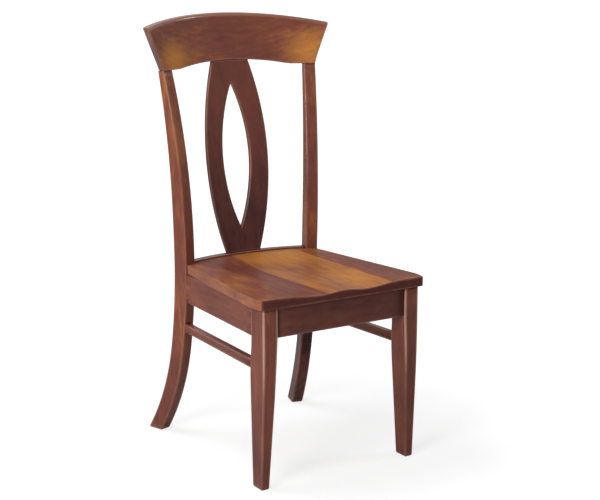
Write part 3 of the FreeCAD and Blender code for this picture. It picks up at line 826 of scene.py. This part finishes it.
def makeSeat(look=seatLook):
    nodes = ["seat_board_%d" % (i + 1) for i in range(look["boards"])]
    lows, highs = zip(*(boxOf(n) for n in nodes))
    front = min(p.y for p in lows)
    low, high = lows[0].z, max(p.z for p in highs)
    halfFront = look["frontWidth"] / 2
    railThickness = boxOf("front_apron")[1].y - boxOf("front_apron")[0].y
    bowCentre = boxOf("rear_rail")[1].y - railLook["radius"] - railThickness
    turn = math.radians(postLook["turn"])
    postAcross = Vector((math.cos(turn), -math.sin(turn), 0))
    postBack = Vector((math.sin(turn), math.cos(turn), 0))
    post = Slices("rear_post_right", zAxis, postAcross, postBack).extent(low + 12)

    swollen = halfFront + look["swell"]
    slope = (swollen - look["rearWidth"] / 2) / (look["sideLength"] - look["swellSetback"])
    tilt = math.atan(slope)
    inward = look["swell"] * math.cos(tilt) + look["swellSetback"] * math.sin(tilt)
    swellRadius = (look["swell"] ** 2 + look["swellSetback"] ** 2) / (2 * inward)

    def sideX(y):
        # an arc from the front corner out to the straight side behind it
        back = look["swellSetback"] - (y - front)
        if back <= 0:
            return swollen + slope * back
        along = min(back / math.cos(tilt), swellRadius)
        for _ in range(8):
            drop = swellRadius - math.sqrt(swellRadius ** 2 - along ** 2)
            along = (back - drop * math.sin(tilt)) / math.cos(tilt)
        return swollen + along * math.sin(tilt) - drop * math.cos(tilt)

    def rear(x):
        # the rear edge follows the rail, and stops at the post's front face outside it
        x = abs(x)
        bow = bowCentre + math.sqrt((railLook["radius"] - look["fit"]) ** 2 - x * x)
        inner = (post[0] - look["fit"]) * postAcross + (post[2] - look["fit"]) * postBack
        face = inner.y - (x - inner.x) * math.tan(turn)
        return bow if x < inner.x else min(bow, face)

    def place(s, v, w):
        return Vector((s / halfFront * sideX(v), v, low + w))

    def outline(s):
        u = max(-1.0, min(1.0, s / halfFront))
        y = front + look["sideLength"]
        for _ in range(6):
            y = rear(u * sideX(y))
        return front, y, 0.0, high - low

    obj = sweepPiece("seat", span(-halfFront, halfFront, look["step"]), outline, place,
                     rounding=(look["cornerRound"],) * 2,
                     insets=(1.0, look["topEdge"] / look["cornerRound"]),
                     radii=(look["lowEdge"], look["sideEdge"], look["sideEdge"], look["topEdge"]),
                     flats=(44, 2), corner=5)
    keys = ("bowlDepth", "fadeStart", "fadeLength", "rearDepth", "ridgeHeight", "ridgeHalfWidth",
            "ridgeLength", "rim")
    sizes = {key: look[key] * mm for key in keys}
    sizes.update(front=front * mm, underside=low * mm, thickness=(high - low) * mm,
                 halfWidth=halfFront * mm, bowlShare=look["bowlShare"],
                 taper=(look["frontWidth"] - look["rearWidth"]) / look["sideLength"] / 2)
    wood = stainedWood("seatWood", "Y", **look["wood"])
    applyTree(obj, makeScoopTree(sizes, wood), **sizes, material=wood)
    finishPiece(obj, wood, "seat_wood", *nodes)


for side in ("left", "right"):
    makePost(side)
    makeLeg(side)
    makeSideBars(side)
makeFrontApron()
makeRearRail()
makeCrest()
makeSplat()
makeSeat()
print("frame and seat made")

# corner blocks: planed, edges eased, left unstained
blockLook = {
    **woodLook,
    "dark": linear(139, 98, 60), "middle": linear(187, 145, 98), "light": linear(214, 178, 132),
    "rubbed": linear(206, 172, 128), "endTone": 0.2,
    "roughness": 0.7, "specular": 0.3, "gloss": 0.0, "edgeGloss": 0.0,
    "ease": 1.2,              # mm, the eased edges
    "longEdge": 6.0,          # mm, edges shorter than this are left
}


def makeBlock(node, seed, look=blockLook):
    mesh = bmesh.new()
    mesh.from_mesh(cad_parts[node].data)
    bmesh.ops.remove_doubles(mesh, verts=mesh.verts, dist=1e-5)
    bmesh.ops.dissolve_limit(mesh, angle_limit=0.02, verts=mesh.verts, edges=mesh.edges)
    layer = mesh.verts.layers.float.new("edge")
    sharp = [e for e in mesh.edges if len(e.link_faces) == 2 and e.calc_face_angle() > 0.5
             and e.calc_length() > look["longEdge"] * mm]
    made = bmesh.ops.bevel(mesh, geom=sharp, offset=look["ease"] * mm, segments=3, profile=0.5,
                           affect="EDGES", clamp_overlap=True)
    for vert in made["verts"]:
        vert[layer] = 1.0
    obj = objectFrom(node + "_eased", mesh)
    for face in obj.data.polygons:
        face.use_smooth = False
    finishPiece(obj, stainedWood(node + "Wood", "X", 0.5, seed, 0.8, look=look), "block_wood", node)


for number, corner in enumerate(("front_corner_block_left", "front_corner_block_right",
                                 "rear_corner_block_left", "rear_corner_block_right")):
    makeBlock(corner, 12.0 + number)


# screws: zinc-plated, pan heads with a cross recess, driven up through the blocks
screwLook = {
    "headRadius": 4.2, "headHeight": 2.6, "shankRadius": 1.9, "pitch": 1.9, "threadHeight": 0.55,
    "point": 5.0, "recessLength": 4.6, "recessWidth": 0.9, "recessDepth": 1.5,
    "brightMetal": (0.62, 0.61, 0.58), "dullMetal": (0.40, 0.38, 0.33),
}


def zincSteel(look=screwLook):
    material = bpy.data.materials.new("zincSteel")
    material.use_nodes = True
    tree = material.node_tree
    shader = tree.nodes["Principled BSDF"]
    place = addNode(tree, "ShaderNodeTexCoord", out="Object")
    dull = noise(tree, place, 320.0, 4.0, 0.6)
    colour = mixColour(tree, dull.smooth(0.4, 0.7), look["brightMetal"], look["dullMetal"])
    tree.links.new(colour.socket, shader.inputs["Base Color"])
    tree.links.new((dull * 0.35 + 0.15).socket, shader.inputs["Roughness"])
    shader.inputs["Metallic"].default_value = 1.0
    bump = addNode(tree, "ShaderNodeBump", [("Height", noise(tree, place, 2400.0)), ("Strength", 0.25),
                                            ("Distance", 0.0001)])
    tree.links.new(bump.socket, shader.inputs["Normal"])
    return material


def makeScrewTree(sizes, material):
    tree, size = newTree("seatScrew", **sizes, material=material)

    def lifted(shape, height, turn=0.0):
        move = addNode(tree, "ShaderNodeCombineXYZ", [("Z", height)])
        return addNode(tree, "GeometryNodeTransform", [("Geometry", shape), ("Translation", move),
                                                       ("Rotation", (0, 0, turn))])

    # a pan head: a ball squared off towards a disc
    ball = addNode(tree, "GeometryNodeMeshUVSphere", [("Segments", 32), ("Rings", 16), ("Radius", 1.0)])
    place = addNode(tree, "GeometryNodeInputPosition")
    x, y, z = (addNode(tree, "ShaderNodeSeparateXYZ", [(0, place)], out=axis) for axis in "XYZ")
    radius = addNode(tree, "ShaderNodeVectorMath", [(0, addNode(tree, "ShaderNodeCombineXYZ",
                                                                [("X", x), ("Y", y)]))],
                     out="Value", operation="LENGTH")
    grow = radius.maths("POWER", radius.maths("MAXIMUM", radius, 1e-4), -0.5) * size["headRadius"]
    flat = z.maths("SIGN", z) * z.maths("POWER", abs(z), 0.5) * size["headHeight"]
    squared = addNode(tree, "ShaderNodeCombineXYZ", [("X", x * grow), ("Y", y * grow), ("Z", flat)])
    head = addNode(tree, "GeometryNodeSetPosition", [("Geometry", ball), ("Position", squared)])
    bar = addNode(tree, "ShaderNodeCombineXYZ", [("X", size["recessLength"]), ("Y", size["recessWidth"]),
                                                 ("Z", size["recessDepth"] * 2)])
    bar = addNode(tree, "GeometryNodeMeshCube", [("Size", bar)])
    for turn in (math.pi / 4, -math.pi / 4):
        slot = lifted(bar, size["headHeight"] * -1, turn)
        head = addNode(tree, "GeometryNodeMeshBoolean", [("Mesh 1", head), ("Mesh 2", slot)],
                       operation="DIFFERENCE", solver="EXACT")
    head = addNode(tree, "GeometryNodeMergeByDistance", [("Geometry", head), ("Distance", 3e-5)])
    # the shank, its point, and the thread wound round it
    straight = size["length"] - size["point"]
    shank = addNode(tree, "GeometryNodeMeshCylinder",
                    [("Vertices", 20), ("Radius", size["shankRadius"]), ("Depth", straight)])
    tip = addNode(tree, "GeometryNodeMeshCone",
                  [("Vertices", 20), ("Radius Bottom", size["shankRadius"] * 0.97),
                   ("Depth", size["point"])])
    helix = addNode(tree, "GeometryNodeCurveSpiral",
                    [("Resolution", 18), ("Rotations", straight / size["pitch"]),
                     ("Start Radius", size["shankRadius"]), ("End Radius", size["shankRadius"]),
                     ("Height", straight)])
    ridge = addNode(tree, "GeometryNodeCurvePrimitiveCircle",
                    [("Resolution", 4), ("Radius", size["threadHeight"])])
    thread = addNode(tree, "GeometryNodeCurveToMesh", [("Curve", helix), ("Profile Curve", ridge),
                                                       ("Fill Caps", True)])
    shank = lifted(shank, straight / 2)
    tip = lifted(tip, straight - size["point"] * 0.05)
    screw = addNode(tree, "GeometryNodeJoinGeometry", [("Geometry", [head, shank, tip, thread])])
    each = addNode(tree, "GeometryNodeInstanceOnPoints",
                   [("Points", size["Geometry"]), ("Instance", screw)])
    endTree(tree, each, size["material"])
    return tree


def makeScrews(look=screwLook):
    node = "seat_screws"
    low, high = boxOf(node)
    points = [v.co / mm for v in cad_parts[node].data.vertices]
    middle = (low.y + high.y) / 2
    places = bmesh.new()
    for right in (False, True):
        for rear in (False, True):
            group = [p for p in points if (p.x > 0) == right and (p.y > middle) == rear]
            xs, ys = [p.x for p in group], [p.y for p in group]
            centre = (min(xs) + max(xs)) / 2, (min(ys) + max(ys)) / 2, low.z + look["headHeight"]
            places.verts.new(Vector(centre) * mm)
    obj = objectFrom("seatScrews", places)
    keys = ("headRadius", "headHeight", "shankRadius", "pitch", "threadHeight", "point", "recessLength",
            "recessWidth", "recessDepth")
    sizes = {key: look[key] * mm for key in keys}
    sizes["length"] = (high.z - low.z - look["headHeight"]) * mm
    material = zincSteel()
    applyTree(obj, makeScrewTree(sizes, material), **sizes, material=material)
    finishPiece(obj, material, "screw_steel", node)


makeScrews()
print("blocks and screws made")

# plain floor and soft studio light
studio = {
    "floorColour": 0.86,
    "floorShare": 0.38,       # how much of the floor's own shading the camera sees near the chair
    "floorGlow": 1.2,         # brings the unshaded floor up to white for the camera
    "shadowReach": (0.45, 1.1),      # metres from the chair's middle, full to none
    "world": 0.28,
    "keyPower": 78.0, "keySize": (1.3, 1.9), "keyPlace": (-3.0, -1.5, 1.7),
    "topPower": 48.0, "topSize": (1.4, 1.4), "topPlace": (-1.2, 0.8, 3.4),
    "sidePower": 14.0, "sideSize": (0.5, 0.5), "sidePlace": (2.3, -1.0, 2.65),
}


def areaLamp(name, place, power, size, target=Vector((0, 0, 0.5))):
    lamp = bpy.data.lights.new(name, "AREA")
    lamp.shape = "RECTANGLE"
    lamp.energy, lamp.size, lamp.size_y = power, *size
    obj = bpy.data.objects.new(name, lamp)
    scene.collection.objects.link(obj)
    obj.location = place
    obj.rotation_euler = (target - Vector(place)).to_track_quat("-Z", "Y").to_euler()


def makeStudio(look=studio):
    bpy.ops.mesh.primitive_plane_add(size=60)
    floor = bpy.context.object
    floor.name = "floor"
    material = bpy.data.materials.new("floorPaint")
    material.use_nodes = True
    tree = material.node_tree
    paint = tree.nodes["Principled BSDF"]
    paint.inputs["Base Color"].default_value = (*[look["floorColour"]] * 3, 1)
    paint.inputs["Roughness"].default_value = 0.9
    paint.inputs["Specular IOR Level"].default_value = 0.1
    glow = addNode(tree, "ShaderNodeEmission", [("Color", (1, 1, 1, 1)), ("Strength", look["floorGlow"])])
    ray = addNode(tree, "ShaderNodeLightPath", out="Is Camera Ray")
    place = addNode(tree, "ShaderNodeTexCoord", out="Object")
    away = addNode(tree, "ShaderNodeVectorMath", [(0, place)], out="Value", operation="LENGTH")
    share = away.smooth(*look["shadowReach"], look["floorShare"], 0.0)
    shown = addNode(tree, "ShaderNodeMixShader", [(0, ray * (1 - share))])
    mixer = shown.socket.node
    tree.links.new(paint.outputs[0], mixer.inputs[1])
    tree.links.new(glow.socket, mixer.inputs[2])
    tree.links.new(shown.socket, tree.nodes["Material Output"].inputs["Surface"])
    floor.data.materials.append(material)
    world = bpy.data.worlds.new("studio")
    scene.world = world
    world.use_nodes = True
    tree = world.node_tree
    path = addNode(tree, "ShaderNodeLightPath", out="Is Camera Ray")
    through = Wire(tree, path.socket.node.outputs["Is Transmission Ray"])
    shine = Wire(tree, path.socket.node.outputs["Is Glossy Ray"])
    seen = (path + through + shine).clamp()
    strength = look["world"] + seen * (1 - look["world"])
    sky = tree.nodes["Background"]
    sky.inputs["Color"].default_value = (1, 1, 1, 1)
    tree.links.new(strength.socket, sky.inputs["Strength"])
    for lamp in ("key", "top", "side"):
        areaLamp(lamp, look[lamp + "Place"], look[lamp + "Power"], look[lamp + "Size"])
    scene.view_settings.view_transform = "Standard"


makeStudio()
print("studio made")
